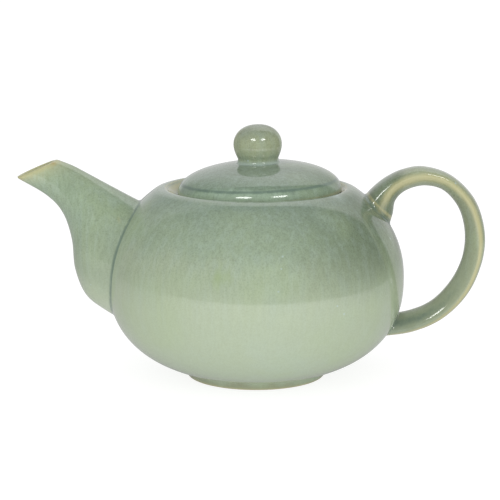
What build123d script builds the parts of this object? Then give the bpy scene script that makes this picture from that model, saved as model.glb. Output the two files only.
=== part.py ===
"""A squat glazed stoneware teapot with a lift-off lid, in build123d, in millimetres.

The frame has its origin on the pot's vertical axis at table level. +Z is up, the spout points along -X and the
handle along +X. The pot is built as a potter builds it: a turned vessel with a pierced strainer, a foot ring, a
hollow spout and a loop handle, and a lid made of a dome, a locating flange and a hollow knob.
"""

import math
import os

from build123d import *

# ---- driving dimensions ----------------------------------------------------------------------------------------
BELLY_RADIUS = 80.0
BELLY_HEIGHT = 54.2  # height of the widest circle above the table
WALL = 4.6

BASE_RADIUS = 38.5  # where the belly's lower curve meets the foot
FOOT_BOTTOM_RADIUS = 37.3
FOOT_WIDTH = 5.6  # radial width of the ring where it meets the vessel
FOOT_EDGE = 0.7

LOWER_DEPTH = 54.45  # the belly's lower curve would reach its pole this far below the widest circle
LOWER_POWER = 2.42
UPPER_RISE = 63.1  # and its upper curve this far above it
UPPER_POWER = 2.06
SHOULDER_RADIUS = 55.0  # where the upper curve hands over to the rolled rim

RIM_OUTER_ROUND = 9.4
RIM_INNER_ROUND = 3.1
COVE_RADIUS = 69.3  # the lid rests in a shallow cove of this radius, struck from a centre above the lid
NECK_RADIUS = 40.0
NECK_ROUND = 2.6
NECK_EDGE = 0.8
ROOF_DROP = 11.1  # from the rim's crest down to the roof of the chamber

LID_RADIUS = 44.0
LID_EDGE_RISE = 2.2  # from the lid's lower face to its widest circle
LID_DOME_RISE = 15.9
LID_POWER = 2.2
LID_THICKNESS = 4.1
LID_LAND_RADIUS = 33.0  # inside this, the lid's underside rises into a hollow
LID_LAND_RISE = 5.2  # from the lower face to the flat that the flange is luted to
LID_EDGE_ROUND = 1.2
LID_GAP = 0.02  # air left between the lid's edge and the cove
LID_LEAN = 2.0  # degrees that the loose lid has slid round the cove towards the handle
FLANGE_RADIUS = 37.0
FLANGE_WIDTH = 3.4
FLANGE_DEPTH = 7.4  # below the lid's lower face
FLANGE_EDGE = 1.2
STEAM_VENT_RADIUS = 2.0
STEAM_VENT_REACH = 23.0  # from the axis, on the far side of the knob from the pourer's eye
KILN_VENT_RADIUS = 1.6

KNOB_RADIUS = 13.0
KNOB_WAIST_RADIUS = 10.9
KNOB_BASE_RADIUS = 11.2
KNOB_POWER = 2.2
KNOB_WAIST_RISE = 2.1  # this and the next two are above the lid's apex
KNOB_WIDEST_RISE = 9.0
KNOB_TOP_RISE = 20.0
KNOB_HOLLOW_RADIUS = 6.0
KNOB_TOP_WALL = 5.0

STRAINER_HOLE_RADIUS = 2.1
STRAINER_PITCH = 7.4
STRAINER_RINGS = 2
STRAINER_HEIGHT = 61.0

SPOUT_WALL_ROOT = 4.0
SPOUT_WALL_LIP = 2.6
LIP_OVERRUN = 6.0  # the bore runs on this far past the mouth, so that it opens cleanly

CURVE_STEPS = 9  # points taken from a formula for one quarter of a turned curve

# Each spout station is (upper x, upper z, lower x, lower z, half width). The first lies inside the vessel.
SPOUT_STATIONS = [
    (-52.0, 89.0, -69.5, 28.6, 25.6),
    (-62.5, 94.7, -81.0, 35.0, 24.6),
    (-69.4, 98.4, -92.0, 43.8, 22.2),
    (-75.6, 101.8, -97.8, 58.2, 18.6),
    (-82.2, 105.4, -99.3, 74.6, 14.6),
    (-90.0, 109.7, -103.8, 88.6, 11.2),
    (-98.2, 114.1, -112.4, 98.2, 9.1),
    (-106.5, 117.4, -128.2, 107.6, 7.9),
]

# Each handle station is (outer x, outer z, inner x, inner z, half width). The first and last lie inside the vessel.
HANDLE_STATIONS = [
    (55.0, 93.0, 70.0, 77.0, 12.5),
    (61.8, 101.2, 73.4, 87.6, 11.2),
    (69.6, 107.6, 74.9, 95.6, 9.8),
    (79.0, 112.1, 80.9, 101.2, 8.9),
    (90.3, 113.6, 90.8, 103.6, 8.6),
    (104.8, 108.9, 101.0, 100.7, 8.6),
    (117.2, 96.6, 109.2, 90.8, 8.6),
    (123.0, 79.5, 112.6, 77.5, 8.7),
    (122.2, 62.8, 111.4, 63.8, 8.8),
    (115.0, 45.2, 105.6, 51.2, 8.9),
    (101.5, 31.3, 95.8, 40.5, 9.2),
    (84.8, 23.8, 83.5, 34.8, 9.8),
    (65.6, 21.2, 64.6, 31.4, 11.0),
]
HANDLE_FLAT = 0.34  # how far the strap's widest line sits towards its outer face
STRAP_SQUARENESS = 0.86  # below 1 makes the strap's section squarer than an egg
SECTION_POINTS = 20

# ---- heights worked out from the above -------------------------------------------------------------------------


def belly_upper(radius):
    """Height of the belly's upper curve at a radius."""
    share = (radius / BELLY_RADIUS) ** UPPER_POWER
    return BELLY_HEIGHT + UPPER_RISE * (1 - share) ** (1 / UPPER_POWER)


def belly_lower(radius):
    """Height of the belly's lower curve at a radius."""
    share = (radius / BELLY_RADIUS) ** LOWER_POWER
    return BELLY_HEIGHT - LOWER_DEPTH * (1 - share) ** (1 / LOWER_POWER)


def slope(curve, radius):
    """Rise of a turned curve per unit of radius."""
    step = min(0.01, (BELLY_RADIUS - radius) / 2)
    return (curve(radius + step) - curve(radius - step)) / (2 * step)


FOOT_HEIGHT = belly_lower(BASE_RADIUS)
RIM_TURN = math.atan(-slope(belly_upper, SHOULDER_RADIUS))
RIM_RADIUS = SHOULDER_RADIUS - RIM_OUTER_ROUND * math.sin(RIM_TURN)
RIM_HEIGHT = belly_upper(SHOULDER_RADIUS) + RIM_OUTER_ROUND * (1 - math.cos(RIM_TURN))
COVE_CENTRE = RIM_HEIGHT - RIM_INNER_ROUND + math.sqrt((COVE_RADIUS + RIM_INNER_ROUND) ** 2 - RIM_RADIUS**2)
FLOOR_HEIGHT = FOOT_HEIGHT + WALL


def cove_height(radius, offset):
    """Height at a radius of the circle that lies offset above the cove."""
    return COVE_CENTRE - math.sqrt((COVE_RADIUS - offset) ** 2 - radius**2)


LID_FOOT = cove_height(LID_RADIUS - LID_EDGE_ROUND, LID_EDGE_ROUND) - LID_EDGE_ROUND + LID_GAP
LID_EDGE_HEIGHT = LID_FOOT + LID_EDGE_RISE
LID_LAND_HEIGHT = LID_FOOT + LID_LAND_RISE


def lid_top(radius):
    """Height of the lid's dome at a radius."""
    share = (radius / LID_RADIUS) ** LID_POWER
    return LID_EDGE_HEIGHT + LID_DOME_RISE * (1 - share) ** (1 / LID_POWER)


LID_APEX = LID_EDGE_HEIGHT + LID_DOME_RISE
KNOB_WAIST_HEIGHT = LID_APEX + KNOB_WAIST_RISE
KNOB_WIDEST_HEIGHT = LID_APEX + KNOB_WIDEST_RISE
KNOB_TOP_HEIGHT = LID_APEX + KNOB_TOP_RISE

# ---- shared helpers --------------------------------------------------------------------------------------------


def at(radius, height):
    """A point of a turned outline, drawn flat as (radius, height)."""
    return Vector(radius, height)


def corner_arc(start, end, centre):
    """The short arc from start to end about a centre."""
    to_middle = (start + end) * 0.5 - centre
    middle = centre + to_middle * ((start - centre).length / to_middle.length)
    return ThreePointArc(start, middle, end)


def quarter(curve, start_radius, end_radius, offset=0.0):
    """Points of a turned curve between two radii, closer together near the wider one, moved inwards by offset."""
    points = []
    for step in range(CURVE_STEPS + 1):
        turn = math.pi / 2 * step / CURVE_STEPS
        radius = start_radius + (end_radius - start_radius) * math.sin(turn)
        points.append(inset(curve, radius, offset))
    return points


def inset(curve, radius, offset):
    """The curve's point at a radius, moved offset along its inward normal."""
    if offset == 0:
        return at(radius, curve(radius))
    if radius > BELLY_RADIUS - 1e-6:
        return at(radius - offset, curve(radius))
    rise = slope(curve, radius)
    length = math.hypot(1, rise)
    return at(radius - offset * abs(rise) / length, curve(radius) + math.copysign(offset, rise) / length)


def turned(edges):
    """The solid made by turning a closed flat outline about the vertical axis."""
    return revolve(Plane.XZ * make_face(edges), Axis.Z)


def ellipse_share(angle):
    """(sideways share, upward share) of an elliptical section at an angle."""
    return math.cos(angle), math.sin(angle)


def strap_share(angle):
    """(sideways share, outward share) of the handle's section, which is widest towards its outer face."""
    side, out = math.cos(angle), math.sin(angle)
    squared = math.copysign(abs(side) ** STRAP_SQUARENESS, side)
    return squared * (1 + HANDLE_FLAT * out), out


def section(station, share):
    """A closed section between a station's two rail points, spanning its half width each way along Y."""
    first_x, first_z, second_x, second_z, half_width = station
    middle = Vector((first_x + second_x) / 2, 0, (first_z + second_z) / 2)
    reach = Vector(first_x, 0, first_z) - middle
    points = []
    for index in range(SECTION_POINTS):
        side, out = share(2 * math.pi * index / SECTION_POINTS)
        points.append(middle + reach * out + Vector(0, half_width * side, 0))
    return make_face(Spline(points, periodic=True))


def rail_loft(stations, share):
    """A smooth solid through every station's section."""
    return loft([section(station, share) for station in stations])


def narrowed(station, wall):
    """The station moved in by the wall on every side."""
    first_x, first_z, second_x, second_z, half_width = station
    span = math.hypot(first_x - second_x, first_z - second_z)
    keep = 1 - 2 * wall / span
    middle_x, middle_z = (first_x + second_x) / 2, (first_z + second_z) / 2
    return (
        middle_x + (first_x - middle_x) * keep,
        middle_z + (first_z - middle_z) * keep,
        middle_x + (second_x - middle_x) * keep,
        middle_z + (second_z - middle_z) * keep,
        half_width - wall,
    )


# ---- the pot ---------------------------------------------------------------------------------------------------


def neck_edge_centre():
    """Centre of the small round edge between the cove and the neck."""
    radius = NECK_RADIUS + NECK_EDGE
    return at(radius, cove_height(radius, -NECK_EDGE))


def onto_cove(point):
    """The cove's nearest point to a point below it."""
    centre = at(0, COVE_CENTRE)
    reach = point - centre
    return centre + reach * (COVE_RADIUS / reach.length)


def rim_edges():
    """The rolled rim, from the shoulder over the crest and down the cove that the lid rests in."""
    shoulder = at(SHOULDER_RADIUS, belly_upper(SHOULDER_RADIUS))
    crest = at(RIM_RADIUS, RIM_HEIGHT)
    inner_centre = at(RIM_RADIUS, RIM_HEIGHT - RIM_INNER_ROUND)
    cove_top = onto_cove(inner_centre)
    return [
        corner_arc(shoulder, crest, at(RIM_RADIUS, RIM_HEIGHT - RIM_OUTER_ROUND)),
        corner_arc(crest, cove_top, inner_centre),
        corner_arc(cove_top, onto_cove(neck_edge_centre()), at(0, COVE_CENTRE)),
    ]


def neck_edges(roof):
    """From the cove's foot down the neck and round under it to the roof of the chamber."""
    edge_centre = neck_edge_centre()
    neck_top = at(NECK_RADIUS, edge_centre.Y)
    neck_foot = at(NECK_RADIUS, roof.Y + NECK_ROUND)
    return [
        corner_arc(onto_cove(edge_centre), neck_top, edge_centre),
        Line(neck_top, neck_foot),
        corner_arc(neck_foot, roof, at(NECK_RADIUS + NECK_ROUND, roof.Y + NECK_ROUND)),
    ]


def vessel_outline(hollow):
    """Edges of the vessel's outline: the full wall, or the plain outer form if hollow is False."""
    lower = quarter(belly_lower, BASE_RADIUS, BELLY_RADIUS)
    upper = quarter(belly_upper, SHOULDER_RADIUS, BELLY_RADIUS)[::-1]
    outer = [
        Line(at(0, FOOT_HEIGHT), lower[0]),
        Spline(lower, tangents=[Vector(1, slope(belly_lower, BASE_RADIUS)), Vector(0, 1)]),
        Spline(upper, tangents=[Vector(0, 1), Vector(-1, math.tan(RIM_TURN))]),
    ]
    if not hollow:
        crest = at(RIM_RADIUS, RIM_HEIGHT)
        return outer + [rim_edges()[0], Line(crest, at(0, RIM_HEIGHT)), Line(at(0, RIM_HEIGHT), at(0, FOOT_HEIGHT))]
    roof = at(NECK_RADIUS + NECK_ROUND, RIM_HEIGHT - ROOF_DROP)
    inner_upper = quarter(belly_upper, SHOULDER_RADIUS + 6, BELLY_RADIUS, WALL)[::-1]
    inner_lower = quarter(belly_lower, BASE_RADIUS + 10, BELLY_RADIUS, WALL)
    floor_middle = at(0, FLOOR_HEIGHT)
    inner = [
        Spline([roof] + inner_upper[::-1], tangents=[Vector(1, 0), Vector(0, -1)]),
        Spline(inner_lower[::-1] + [floor_middle], tangents=[Vector(0, -1), Vector(-1, 0)]),
        Line(floor_middle, at(0, FOOT_HEIGHT)),
    ]
    return outer + rim_edges() + neck_edges(roof) + inner


def strainer_holes():
    """The pierced holes behind the spout: rings of holes on a triangular grid, drilled along X."""
    holes = []
    for row in range(-STRAINER_RINGS, STRAINER_RINGS + 1):
        in_row = 2 * STRAINER_RINGS + 1 - abs(row)
        for place in range(in_row):
            sideways = (place - (in_row - 1) / 2) * STRAINER_PITCH
            height = STRAINER_HEIGHT + row * STRAINER_PITCH * math.sqrt(3) / 2
            start = Plane(origin=(-BELLY_RADIUS, sideways, height), z_dir=(1, 0, 0))
            holes.append(start * Cylinder(STRAINER_HOLE_RADIUS, 6 * WALL))
    return holes


def make_vessel():
    """The turned wall, base, rim, cove and neck, pierced behind the spout."""
    wall = turned(vessel_outline(hollow=True))
    for hole in strainer_holes():
        wall -= hole
    return wall


def make_foot_ring():
    """The turned ring under the vessel, tapering to a narrow standing edge."""
    inner_top = BASE_RADIUS - FOOT_WIDTH
    inner_bottom = inner_top + 0.8
    outline = Polyline(
        at(inner_top, FOOT_HEIGHT),
        at(BASE_RADIUS, FOOT_HEIGHT),
        at(FOOT_BOTTOM_RADIUS, 0),
        at(inner_bottom, 0),
        close=True,
    ).edges()
    ring = turned(outline)
    return fillet(ring.edges().filter_by(GeomType.CIRCLE).group_by(Axis.Z)[0], FOOT_EDGE)


def make_spout(vessel_form):
    """The hollow spout, cut to the vessel's surface at its root and open at its oblique lip."""
    skin = rail_loft(SPOUT_STATIONS, ellipse_share)
    last = len(SPOUT_STATIONS) - 1
    bore_stations = []
    for index, station in enumerate(SPOUT_STATIONS):
        wall = SPOUT_WALL_ROOT + (SPOUT_WALL_LIP - SPOUT_WALL_ROOT) * index / last
        bore_stations.append(narrowed(station, wall))
    bore_stations.append(overrun(bore_stations[-2], bore_stations[-1]))
    return skin - rail_loft(bore_stations, ellipse_share) - vessel_form


def overrun(before, end):
    """A further station beyond end, carrying on in the direction from before."""
    run_x = (end[0] + end[2] - before[0] - before[2]) / 2
    run_z = (end[1] + end[3] - before[1] - before[3]) / 2
    scale = LIP_OVERRUN / math.hypot(run_x, run_z)
    return (
        end[0] + run_x * scale,
        end[1] + run_z * scale,
        end[2] + run_x * scale,
        end[3] + run_z * scale,
        end[4],
    )


def make_handle(vessel_form):
    """The loop handle, cut to the vessel's surface at both ends."""
    return rail_loft(HANDLE_STATIONS, strap_share) - vessel_form


# ---- the lid ---------------------------------------------------------------------------------------------------


def lid_outer_edges():
    """The dome and the rounded edge under it, from the apex to the lower face."""
    edge_top = at(LID_RADIUS, LID_FOOT + LID_EDGE_ROUND)
    edge_foot = at(LID_RADIUS - LID_EDGE_ROUND, LID_FOOT)
    return [
        Spline(lid_points(), tangents=[Vector(1, 0), Vector(0, -1)]),
        Line(at(LID_RADIUS, LID_EDGE_HEIGHT), edge_top),
        corner_arc(edge_top, edge_foot, at(LID_RADIUS - LID_EDGE_ROUND, LID_FOOT + LID_EDGE_ROUND)),
    ]


def lid_points():
    """Points down the dome's curve, closer together near its edge."""
    points = []
    for step in range(CURVE_STEPS + 1):
        radius = LID_RADIUS * math.sin(math.pi / 2 * step / CURVE_STEPS)
        points.append(at(radius, lid_top(radius)))
    return points


def make_lid():
    """The domed lid, hollow beneath, with a steam vent and a kiln vent into the knob."""
    edge_foot = at(LID_RADIUS - LID_EDGE_ROUND, LID_FOOT)
    land_outer = at(FLANGE_RADIUS, LID_LAND_HEIGHT)
    land_inner = at(LID_LAND_RADIUS, LID_LAND_HEIGHT)
    hollow = [
        land_inner,
        at(LID_LAND_RADIUS - 4, lid_top(LID_LAND_RADIUS - 4) - LID_THICKNESS - 0.8),
        at(LID_LAND_RADIUS / 2, lid_top(LID_LAND_RADIUS / 2) - LID_THICKNESS),
        at(0, LID_APEX - LID_THICKNESS),
    ]
    underside = [
        Line(edge_foot, at(FLANGE_RADIUS, LID_FOOT)),
        Line(at(FLANGE_RADIUS, LID_FOOT), land_outer),
        Line(land_outer, land_inner),
        Spline(hollow, tangents=[Vector(-0.35, 1), Vector(-1, 0)]),
        Line(at(0, LID_APEX - LID_THICKNESS), at(0, LID_APEX)),
    ]
    dome = turned(lid_outer_edges() + underside)
    steam_vent = Pos(0, STEAM_VENT_REACH, LID_APEX) * Cylinder(STEAM_VENT_RADIUS, 8 * LID_THICKNESS)
    kiln_vent = Pos(0, 0, LID_APEX) * Cylinder(KILN_VENT_RADIUS, 4 * LID_THICKNESS)
    return dome - steam_vent - kiln_vent


def make_lid_flange():
    """The locating ring luted under the lid, which drops into the neck."""
    low = LID_FOOT - FLANGE_DEPTH
    outline = Polyline(
        at(FLANGE_RADIUS - FLANGE_WIDTH, LID_LAND_HEIGHT),
        at(FLANGE_RADIUS, LID_LAND_HEIGHT),
        at(FLANGE_RADIUS, low),
        at(FLANGE_RADIUS - FLANGE_WIDTH, low),
        close=True,
    ).edges()
    ring = turned(outline)
    return fillet(ring.edges().filter_by(GeomType.CIRCLE).group_by(Axis.Z)[0], FLANGE_EDGE)


def make_knob():
    """The hollow round knob on its waisted neck, standing on the lid's dome."""
    below = LID_APEX - 3.0
    rise = KNOB_TOP_HEIGHT - KNOB_WIDEST_HEIGHT
    crown = []
    for step in range(CURVE_STEPS + 1):
        turn = math.pi / 2 * step / CURVE_STEPS
        radius = KNOB_RADIUS * math.cos(turn) ** (2 / KNOB_POWER)
        crown.append(at(radius, KNOB_WIDEST_HEIGHT + rise * math.sin(turn) ** (2 / KNOB_POWER)))
    base = at(KNOB_BASE_RADIUS, LID_APEX - 0.4)
    waist = at(KNOB_WAIST_RADIUS, KNOB_WAIST_HEIGHT)
    outline = [
        Line(at(0, below), at(KNOB_BASE_RADIUS, below)),
        Line(at(KNOB_BASE_RADIUS, below), base),
        Spline([base, waist, crown[0]], tangents=[Vector(-1, 1.2), Vector(0, 1)]),
        Spline(crown, tangents=[Vector(0, 1), Vector(-1, 0)]),
        Line(crown[-1], at(0, below)),
    ]
    roof = KNOB_TOP_HEIGHT - KNOB_TOP_WALL
    pocket_foot = at(KNOB_HOLLOW_RADIUS, below)
    pocket_spring = at(KNOB_HOLLOW_RADIUS, roof - KNOB_HOLLOW_RADIUS)
    pocket = turned(
        [
            Line(pocket_foot, pocket_spring),
            corner_arc(pocket_spring, at(0, roof), at(0, roof - KNOB_HOLLOW_RADIUS)),
            Line(at(0, roof), at(0, below)),
            Line(at(0, below), pocket_foot),
        ]
    )
    return turned(outline) - pocket - make_dome_form()


def make_dome_form():
    """The lid's outer form, filled in down to its lower face."""
    edge_foot = at(LID_RADIUS - LID_EDGE_ROUND, LID_FOOT)
    closing = [Line(edge_foot, at(0, LID_FOOT)), Line(at(0, LID_FOOT), at(0, LID_APEX))]
    return turned(lid_outer_edges() + closing)


def main():
    os.makedirs("parts", exist_ok=True)
    vessel_form = turned(vessel_outline(hollow=False))
    parts = {
        "vessel": make_vessel(),
        "foot_ring": make_foot_ring(),
        "spout": make_spout(vessel_form),
        "handle": make_handle(vessel_form),
        "lid": make_lid(),
        "lid_flange": make_lid_flange(),
        "knob": make_knob(),
    }
    leaning = Pos(0, 0, COVE_CENTRE) * Rot(0, -LID_LEAN, 0) * Pos(0, 0, -COVE_CENTRE)
    for name in ("lid", "lid_flange", "knob"):
        parts[name] = leaning * parts[name]
    for name, shape in parts.items():
        export_step(shape, f"parts/{name}.step")


main()
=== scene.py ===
"""A glazed stoneware teapot in a light tent, finished over its CAD frame.

Every piece is its own smooth mesh, drawn in millimetres to match the frame, with a procedural glaze.
The marks thin, pool, milk and bare, stored on each vertex, say where the glaze breaks, gathers, clouds
over or was wiped away, and in a few places they carry painted light. The lid leans a little, as a loose lid
does in its cove, so its pieces are drawn level and then leaned.
"""

import math

import bmesh
import bpy
from mathutils import Matrix, Vector, noise


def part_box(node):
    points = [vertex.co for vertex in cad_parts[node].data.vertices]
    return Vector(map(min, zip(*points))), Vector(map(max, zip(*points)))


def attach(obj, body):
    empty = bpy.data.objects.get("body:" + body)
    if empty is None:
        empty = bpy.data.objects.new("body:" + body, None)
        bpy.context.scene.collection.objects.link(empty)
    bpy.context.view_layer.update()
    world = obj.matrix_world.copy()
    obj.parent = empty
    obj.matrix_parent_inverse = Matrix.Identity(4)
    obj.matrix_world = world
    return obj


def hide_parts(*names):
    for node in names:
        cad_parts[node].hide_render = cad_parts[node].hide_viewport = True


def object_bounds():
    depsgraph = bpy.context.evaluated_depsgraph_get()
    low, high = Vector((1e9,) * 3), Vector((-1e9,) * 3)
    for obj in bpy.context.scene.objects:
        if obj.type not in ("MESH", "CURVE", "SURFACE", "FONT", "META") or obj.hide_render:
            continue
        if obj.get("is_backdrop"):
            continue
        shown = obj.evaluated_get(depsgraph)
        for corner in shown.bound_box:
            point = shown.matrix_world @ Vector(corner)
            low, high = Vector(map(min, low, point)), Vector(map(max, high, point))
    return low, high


MM = 0.001
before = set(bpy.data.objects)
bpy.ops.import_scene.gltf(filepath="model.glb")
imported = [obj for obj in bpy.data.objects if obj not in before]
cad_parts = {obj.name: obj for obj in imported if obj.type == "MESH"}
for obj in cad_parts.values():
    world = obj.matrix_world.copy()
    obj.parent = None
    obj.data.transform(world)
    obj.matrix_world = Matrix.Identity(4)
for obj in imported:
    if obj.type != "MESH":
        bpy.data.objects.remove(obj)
frame_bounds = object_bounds()


def extent(node, axis, side):
    """One face of a node's box in millimetres: axis 0 to 2, side 0 low or 1 high."""
    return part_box(node)[side][axis] / MM


# ---- sizes, in millimetres -----------------------------------------------------------------------

BELLY_RADIUS = extent("vessel", 0, 1)
BELLY_HEIGHT = 54.2  # where the belly is widest
LOWER_DEPTH = 54.45
LOWER_POWER = 2.42
UPPER_RISE = 63.1
UPPER_POWER = 2.06
WALL = 4.6

BASE_HEIGHT = extent("vessel", 2, 0)
BASE_RADIUS = 38.5
FOOT_BOTTOM_RADIUS = 37.3
FOOT_INNER_RADIUS = 33.3

SHOULDER_RADIUS = 55.0  # where the rim's roll starts
ROOF_RADIUS = 60.5  # radius of the outer surface over the top of the inside wall
RIM_HEIGHT = extent("vessel", 2, 1)
RIM_INNER_ROUND = 3.1
RIM_BREAK_RADIUS = 48.4  # where glaze breaks along the rim's inner edge
RIM_GATHER_RADIUS = 55.5  # where it gathers outside the rim
COVE_RADIUS = 69.3  # the lid rests in a shallow cove struck from a centre above it
COVE_CENTRE = 152.5
COVE_FOOT = RIM_HEIGHT - 7.2
COVE_THIN_RADIUS = 45.4
NECK_RADIUS = 40.0
ROOF_HEIGHT = RIM_HEIGHT - 11.1

LID_LEAN = math.radians(2.0)
LID_FOOT = RIM_HEIGHT - 4.4
LID_RADIUS = 44.0
LID_EDGE = LID_FOOT + 2.2
LID_APEX = LID_EDGE + 15.9
LID_POWER = 2.2
LID_THICKNESS = 4.1
LID_DARK_LINE_RADIUS = 41.7  # where a dark teal line runs above the lid's edge
LID_LAND = LID_FOOT + 5.2  # the level ring under the lid that the flange joins
LAND_RADIUS = 33.0
HOLLOW_RADIUS = 30.0
FLANGE_RADIUS = 37.0
FLANGE_FOOT = LID_FOOT - 7.4
FLANGE_WIDTH = 3.4
STEAM_VENT_RADIUS = 2.0
STEAM_VENT_REACH = 23.0
KILN_VENT_RADIUS = 1.6

KNOB_RADIUS = 13.0
KNOB_TOP = LID_APEX + 20.0
KNOB_WIDEST = LID_APEX + 9.0
KNOB_WAIST = LID_APEX + 2.1
KNOB_WAIST_RADIUS = 10.9
KNOB_BASE_RADIUS = 11.2
KNOB_RUNOUT = KNOB_BASE_RADIUS + 0.7  # radius where its fillet ends on the dome
KNOB_POWER = 2.2
KNOB_HOLLOW_RADIUS = 6.0
KNOB_HOLLOW_HEIGHT = KNOB_TOP - 11.0  # where the hollow's round roof starts

STRAINER_HOLE_RADIUS = 2.1
STRAINER_PITCH = 7.4
STRAINER_RINGS = 2
STRAINER_HEIGHT = 61.0

SPOUT_WALL_ROOT = 4.0
SPOUT_WALL_LIP = 2.6
SPOUT_FILLET = 1.7
HANDLE_FILLET = 1.6
ROOT_DEPTH = 1.2  # how far the spout's and the handle's ends are sunk below the vessel's surface

WOBBLE = 0.16  # how far the clay wanders from true, about every 50 mm
THROWING_RINGS = 0.05  # and about every 6 mm up the pot
POT_SEED = 0.0
LID_SEED = 5.0

# Each spout station is (upper x, upper z, lower x, lower z, half width).
# The first lies inside the vessel.
SPOUT_STATIONS = [
    (-52.0, 89.0, -69.5, 28.6, 25.6),
    (-62.5, 94.7, -81.0, 35.0, 24.6),
    (-69.4, 98.4, -92.0, 43.8, 22.2),
    (-75.6, 101.8, -97.8, 58.2, 18.6),
    (-82.2, 105.4, -99.3, 74.6, 14.6),
    (-90.0, 109.7, -103.8, 88.6, 11.2),
    (-98.2, 114.1, -112.4, 98.2, 9.1),
    (-106.5, 117.4, -128.2, 107.6, 7.9),
]

# Each handle station is (outer x, outer z, inner x, inner z, half width).
# The first and last lie inside the vessel.
HANDLE_STATIONS = [
    (55.0, 93.0, 70.0, 77.0, 12.5),
    (61.8, 101.2, 73.4, 87.6, 11.2),
    (69.6, 107.6, 74.9, 95.6, 9.8),
    (79.0, 112.1, 80.9, 101.2, 8.9),
    (90.3, 113.6, 90.8, 103.6, 8.6),
    (104.8, 108.9, 101.0, 100.7, 8.6),
    (117.2, 96.6, 109.2, 90.8, 8.6),
    (123.0, 79.5, 112.6, 77.5, 8.7),
    (122.2, 62.8, 111.4, 63.8, 8.8),
    (115.0, 45.2, 105.6, 51.2, 8.9),
    (101.5, 31.3, 95.8, 40.5, 9.2),
    (84.8, 23.8, 83.5, 34.8, 9.8),
    (65.6, 21.2, 64.6, 31.4, 11.0),
]
HANDLE_FLAT = 0.34
STRAP_SQUARENESS = 0.86

# ---- how finely the pieces are drawn, and places along the spout and the handle ------------------

TURNS = 256  # steps round a turned form
AROUND = 72  # steps round the spout and the handle
HOLE_STEPS = 28
SPOUT_ROWS = 64
HANDLE_ROWS = 128
FILLET_STEPS = 6
LIP_STEPS = 8

LIP_START = 0.99  # where the spout's rounded lip starts, as a share of its length
LIP_RISE = 0.016
RIDGE_PLACE = 0.05  # where the glaze breaks on the strap: 0 is its widest line, 1 its outer face
RIDGE_DRIFT = 1.2  # how fast that place moves outward, past the first quarter of the loop
RIDGE_SPREAD = 0.44
RIDGE_SWELL = 0.58  # extra spread over the top of the loop
RIDGE_BREAK = 0.8

# ---- clay: shared shape helpers ------------------------------------------------------------------


def belly_radius(height):
    """Radius of the pot's outer surface at a height."""
    depth, power = (UPPER_RISE, UPPER_POWER) if height > BELLY_HEIGHT else (LOWER_DEPTH, LOWER_POWER)
    share = min(abs(height - BELLY_HEIGHT) / depth, 1)
    return BELLY_RADIUS * (1 - share**power) ** (1 / power)


def dome_height(radius):
    """Height of the lid's outer surface at a radius."""
    share = (radius / LID_RADIUS) ** LID_POWER
    return LID_EDGE + (LID_APEX - LID_EDGE) * (1 - share) ** (1 / LID_POWER)


def turned_quarter(radius, rise, centre, power, start, steps):
    """Points (radius, height) of a turned quarter curve, from a start angle to a right angle."""
    points = []
    for step in range(steps + 1):
        turn = start + (math.pi / 2 - start) * step / steps
        up = max(math.cos(turn), 0) ** (2 / power)
        points.append((radius * math.sin(turn) ** (2 / power), centre + rise * up))
    return points


def arc(centre, radius, first, last, steps):
    """Points (radius, height) round a centre, from a first angle to a last one."""
    points = []
    for step in range(steps + 1):
        turn = first + (last - first) * step / steps
        points.append((centre[0] + radius * math.cos(turn), centre[1] + radius * math.sin(turn)))
    return points


def rounded(corners, steps=6):
    """Points through (radius, height, rounding) corners, with an arc of that rounding at each one."""
    path = []
    for index, (across, up, rounding) in enumerate(corners):
        here = Vector((across, up))
        if rounding == 0:
            path.append((across, up))
            continue
        back = (Vector(corners[index - 1][:2]) - here).normalized()
        onward = (Vector(corners[index + 1][:2]) - here).normalized()
        half = back.angle(onward) / 2
        centre = here + (back + onward).normalized() * rounding / math.sin(half)
        first = here + back * rounding / math.tan(half) - centre
        last = here + onward * rounding / math.tan(half) - centre
        for step in range(steps + 1):
            path.append(tuple(centre + first.slerp(last, step / steps)))
    return path


def filled(path, gap):
    """The path with extra points put into its longer steps, so that none is longer than the gap."""
    points = [path[0]]
    for before, after in zip(path, path[1:]):
        count = max(1, math.ceil(math.dist(before, after) / gap))
        for step in range(1, count + 1):
            share = step / count
            points.append(tuple(a + (b - a) * share for a, b in zip(before, after)))
    return points


def offset_path(path, distance):
    """The path moved sideways, to its left, by a distance."""
    moved = []
    for index, point in enumerate(path):
        before = Vector(path[max(index - 1, 0)])
        after = Vector(path[min(index + 1, len(path) - 1)])
        along = (after - before).normalized()
        moved.append((point[0] - along.y * distance, point[1] + along.x * distance))
    return moved


def hand_thrown(point, seed):
    """The point with the slight wobble and throwing rings of wheel-made ware."""
    reach = math.hypot(point.x, point.y)
    if reach < 1e-6:
        return point
    slow = noise.noise(Vector((point.x, point.y, point.z * 1.6)) * 0.019 + Vector((seed, 0, 0)))
    rings = noise.noise(Vector((seed * 3.1, point.x * 0.004, point.z * 0.17)))
    swell = (WOBBLE * slow + THROWING_RINGS * rings) * min(reach / 20, 1)
    return point + Vector((point.x, point.y, 0)) * (swell / reach)


def leaned(point):
    """A point of the level lid, moved as the whole lid leans round the cove's centre."""
    centre = Vector((0, 0, COVE_CENTRE))
    return centre + Matrix.Rotation(-LID_LEAN, 3, "Y") @ (point - centre)


def face_outward(mesh):
    """Turns a closed mesh's faces outward and smooths them."""
    build = bmesh.new()
    build.from_mesh(mesh)
    bmesh.ops.recalc_face_normals(build, faces=build.faces)
    build.to_mesh(mesh)
    build.free()
    mesh.shade_smooth()


def add_object(name, data):
    """A new object in the scene."""
    thing = bpy.data.objects.new(name, data)
    bpy.context.collection.objects.link(thing)
    return thing


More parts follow.
